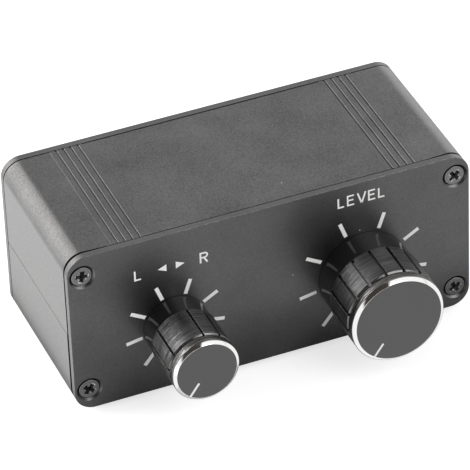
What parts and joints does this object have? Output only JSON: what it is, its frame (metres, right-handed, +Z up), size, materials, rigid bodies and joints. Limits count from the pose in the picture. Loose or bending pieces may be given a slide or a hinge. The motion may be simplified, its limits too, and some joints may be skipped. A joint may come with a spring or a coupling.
{
  "type": "audio level and balance controller",
  "caption": "Small black desktop stereo volume and balance controller: split extruded metal case, end plates, two turning knobs with dial marks, phono jacks at the rear.",
  "frame": {"origin": "on the table under the middle of the case, in the plane of the feet's soles", "axes": "+X to the right seen from the front, +Y to the back, away from the knobs, +Z up"},
  "size_m": [0.088, 0.0656, 0.0396],
  "materials": {
    "anodised_case": "fine-blasted and black anodised, satin",
    "black_screw": "blackened steel",
    "foot_rubber": "matt",
    "knob_metal": "turned and black anodised, bright-cut chamfer",
    "knob_plastic": "glossy",
    "shaft_metal": "turned",
    "rotor_plastic": "moulded",
    "bushing_metal": "plated",
    "plated_steel": "plated",
    "pot_plastic": "moulded",
    "wafer_laminate": "laminate",
    "board_laminate": "glass laminate, green",
    "chip_plastic": "moulded",
    "capacitor_sleeve": "shrunk sleeve over a can",
    "film_plastic": "moulded",
    "resistor_lacquer": "lacquered",
    "jack_plastic": "moulded",
    "jack_sleeve": "nickel plated",
    "left_insulator": "white",
    "right_insulator": "red",
    "contact_metal": "plated"
  },
  "bodies": {
    "case": {"upper_shell": "anodised_case", "lower_shell": "anodised_case", "front_panel": "anodised_case", "rear_panel": "anodised_case", "front_screws": "black_screw", "rear_screws": "black_screw", "front_left_foot": "foot_rubber", "front_right_foot": "foot_rubber", "rear_left_foot": "foot_rubber", "rear_right_foot": "foot_rubber", "volume_bushing": "bushing_metal", "balance_bushing": "bushing_metal", "volume_nut": "plated_steel", "balance_nut": "plated_steel", "volume_washer": "plated_steel", "balance_washer": "plated_steel", "volume_terminals": "plated_steel", "balance_terminals": "plated_steel", "supply_jack_blades": "plated_steel", "volume_housing": "pot_plastic", "balance_housing": "pot_plastic", "volume_wafers": "wafer_laminate", "balance_wafers": "wafer_laminate", "circuit_board": "board_laminate", "left_chip_socket": "chip_plastic", "right_chip_socket": "chip_plastic", "left_amplifier_chip": "chip_plastic", "right_amplifier_chip": "chip_plastic", "supply_capacitors": "capacitor_sleeve", "coupling_capacitors": "capacitor_sleeve", "film_capacitors": "film_plastic", "resistors": "resistor_lacquer", "input_jack_block": "jack_plastic", "output_jack_block": "jack_plastic", "supply_jack_body": "jack_plastic", "input_left_sleeve": "jack_sleeve", "input_right_sleeve": "jack_sleeve", "output_left_sleeve": "jack_sleeve", "output_right_sleeve": "jack_sleeve", "input_left_insulator": "left_insulator", "output_left_insulator": "left_insulator", "input_right_insulator": "right_insulator", "output_right_insulator": "right_insulator", "input_contacts": "contact_metal", "output_contacts": "contact_metal", "supply_jack_pin": "contact_metal"},
    "volume_dial": {"volume_knob_shell": "knob_metal", "volume_knob_core": "knob_plastic", "volume_shaft": "shaft_metal", "volume_rotors": "rotor_plastic"},
    "balance_dial": {"balance_knob_shell": "knob_metal", "balance_knob_core": "knob_plastic", "balance_shaft": "shaft_metal", "balance_rotors": "rotor_plastic"}
  },
  "joints": [
    {"name": "volume_turn", "type": "hinge", "parent": "case", "child": "volume_dial", "pos_m": [0.02, -0.0193, 0.01695], "axis": [0, 1, 0], "range_deg": [0, 288]},
    {"name": "balance_turn", "type": "hinge", "parent": "case", "child": "balance_dial", "pos_m": [-0.0216, -0.0193, 0.01695], "axis": [0, 1, 0], "range_deg": [0, 288]}
  ]
}
